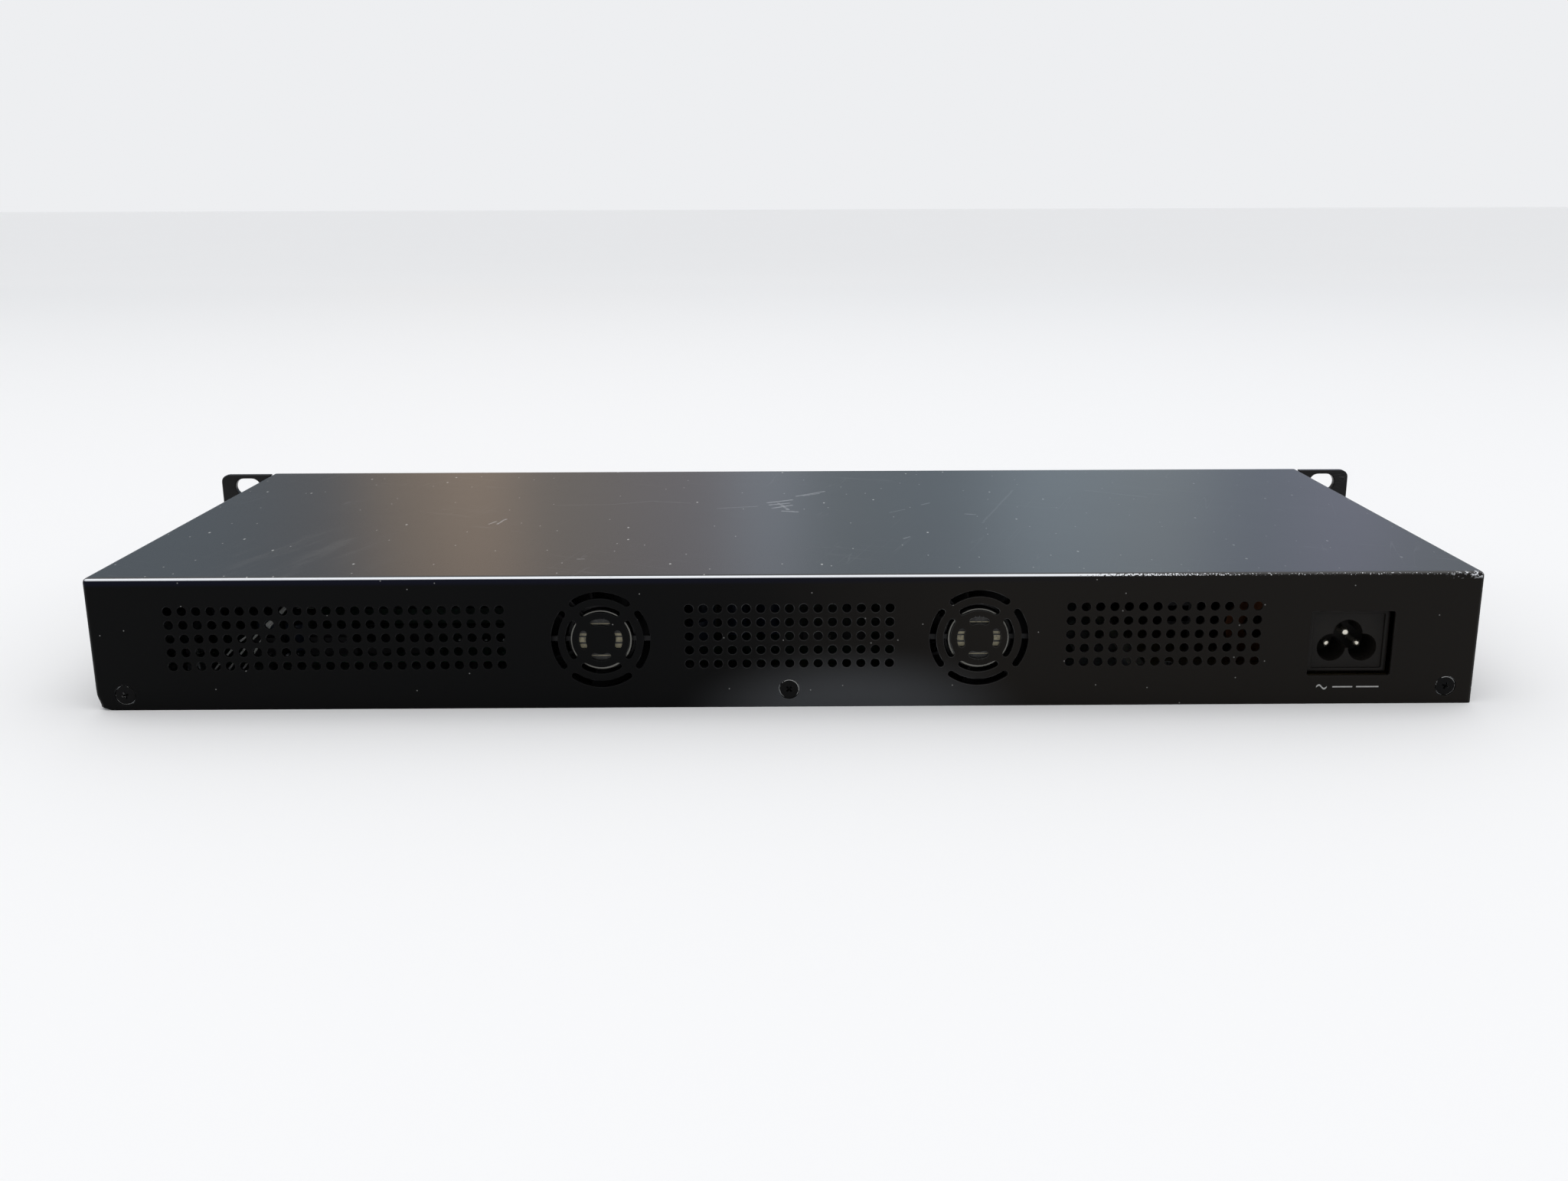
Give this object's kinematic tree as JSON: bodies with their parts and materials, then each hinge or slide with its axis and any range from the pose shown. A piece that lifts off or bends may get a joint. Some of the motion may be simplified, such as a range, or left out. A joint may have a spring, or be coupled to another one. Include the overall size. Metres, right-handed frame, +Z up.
{
  "type": "firewall appliance",
  "caption": "Low rack-mount network box with a folded dark steel cover, perforated back with two fan grilles, three-pole mains inlet, rack ears and front network sockets.",
  "frame": {"origin": "centre of the footprint, on the underside of the base tray", "axes": "+X to the right seen from the back, +Y towards the front with the ports and rack ears, +Z up"},
  "size_m": [0.4826, 0.175, 0.0435],
  "materials": {
    "cover_paint": "satin dark paint, worn at the bends",
    "galvanised": "dull zinc coat",
    "fascia_plastic": "fine moulded texture",
    "ear_paint": "semi-gloss black powder coat",
    "black_screw": "black oxide",
    "zinc_screw": "bright zinc",
    "fan_plastic": "moulded black",
    "label_paper": "faded paper label",
    "inlet_plastic": "moulded black",
    "pin_metal": "nickel plated",
    "main_laminate": "solder resist",
    "power_laminate": "bare laminate",
    "chip_black": "moulded package",
    "aluminium": "extruded",
    "can_sleeve": "shrunk sleeve",
    "coil_tape": "yellow winding tape",
    "insulator": "thin fibre sheet",
    "port_shield": "tinned shell",
    "clear_plastic": "clear moulding",
    "cable_jacket": "matt sleeve"
  },
  "bodies": {
    "chassis": {"top_cover": "cover_paint", "base_tray": "galvanised", "front_fascia": "fascia_plastic", "status_light_pipe": "clear_plastic", "rack_ear_left": "ear_paint", "side_screw_left": "black_screw", "ear_screw_left_1": "black_screw", "ear_screw_left_2": "black_screw", "rack_ear_right": "ear_paint", "side_screw_right": "black_screw", "ear_screw_right_1": "black_screw", "ear_screw_right_2": "black_screw", "rear_screw_left": "black_screw", "rear_screw_middle": "black_screw", "rear_screw_right": "black_screw", "fan_left_frame": "fan_plastic", "fan_left_label": "label_paper", "fan_left_bracket": "galvanised", "fan_left_cable": "cable_jacket", "fan_left_screw_1": "zinc_screw", "fan_left_screw_2": "zinc_screw", "fan_right_frame": "fan_plastic", "fan_right_label": "label_paper", "fan_right_bracket": "galvanised", "fan_right_cable": "cable_jacket", "fan_right_screw_1": "zinc_screw", "fan_right_screw_2": "zinc_screw", "mains_inlet": "inlet_plastic", "mains_pin_live": "pin_metal", "mains_pin_neutral": "pin_metal", "mains_pin_earth": "pin_metal", "psu_board": "power_laminate", "psu_insulator": "insulator", "psu_transformer": "coil_tape", "psu_heatsink": "aluminium", "psu_choke": "coil_tape", "psu_bulk_capacitor": "can_sleeve", "psu_output_capacitor": "can_sleeve", "dc_cable": "cable_jacket", "psu_screw_1": "zinc_screw", "psu_screw_2": "zinc_screw", "psu_screw_3": "zinc_screw", "psu_screw_4": "zinc_screw", "main_board": "main_laminate", "board_screw_1": "zinc_screw", "board_screw_2": "zinc_screw", "board_screw_3": "zinc_screw", "board_screw_4": "zinc_screw", "processor": "chip_black", "processor_heatsink": "aluminium", "memory_module": "main_laminate", "coin_cell": "port_shield", "lan_port_block_a": "port_shield", "lan_port_block_b": "port_shield", "console_port": "port_shield", "usb_port": "port_shield", "reset_switch": "chip_black"},
    "fan_left_rotor": {"fan_left_impeller": "fan_plastic"},
    "fan_right_rotor": {"fan_right_impeller": "fan_plastic"},
    "reset_cap": {"reset_button": "inlet_plastic"}
  },
  "joints": [
    {"name": "fan_left_spin", "type": "hinge", "parent": "chassis", "child": "fan_left_rotor", "pos_m": [-0.0586, -0.0757, 0.0222], "axis": [0, 1, 0], "continuous": true},
    {"name": "fan_right_spin", "type": "hinge", "parent": "chassis", "child": "fan_right_rotor", "pos_m": [0.0611, -0.0757, 0.0222], "axis": [0, 1, 0], "continuous": true},
    {"name": "reset_press", "type": "slide", "parent": "chassis", "child": "reset_cap", "axis": [0, -1, 0], "range_m": [0, 0.0011], "stiffness_N_per_m": 300, "springref_m": -0.001}
  ]
}
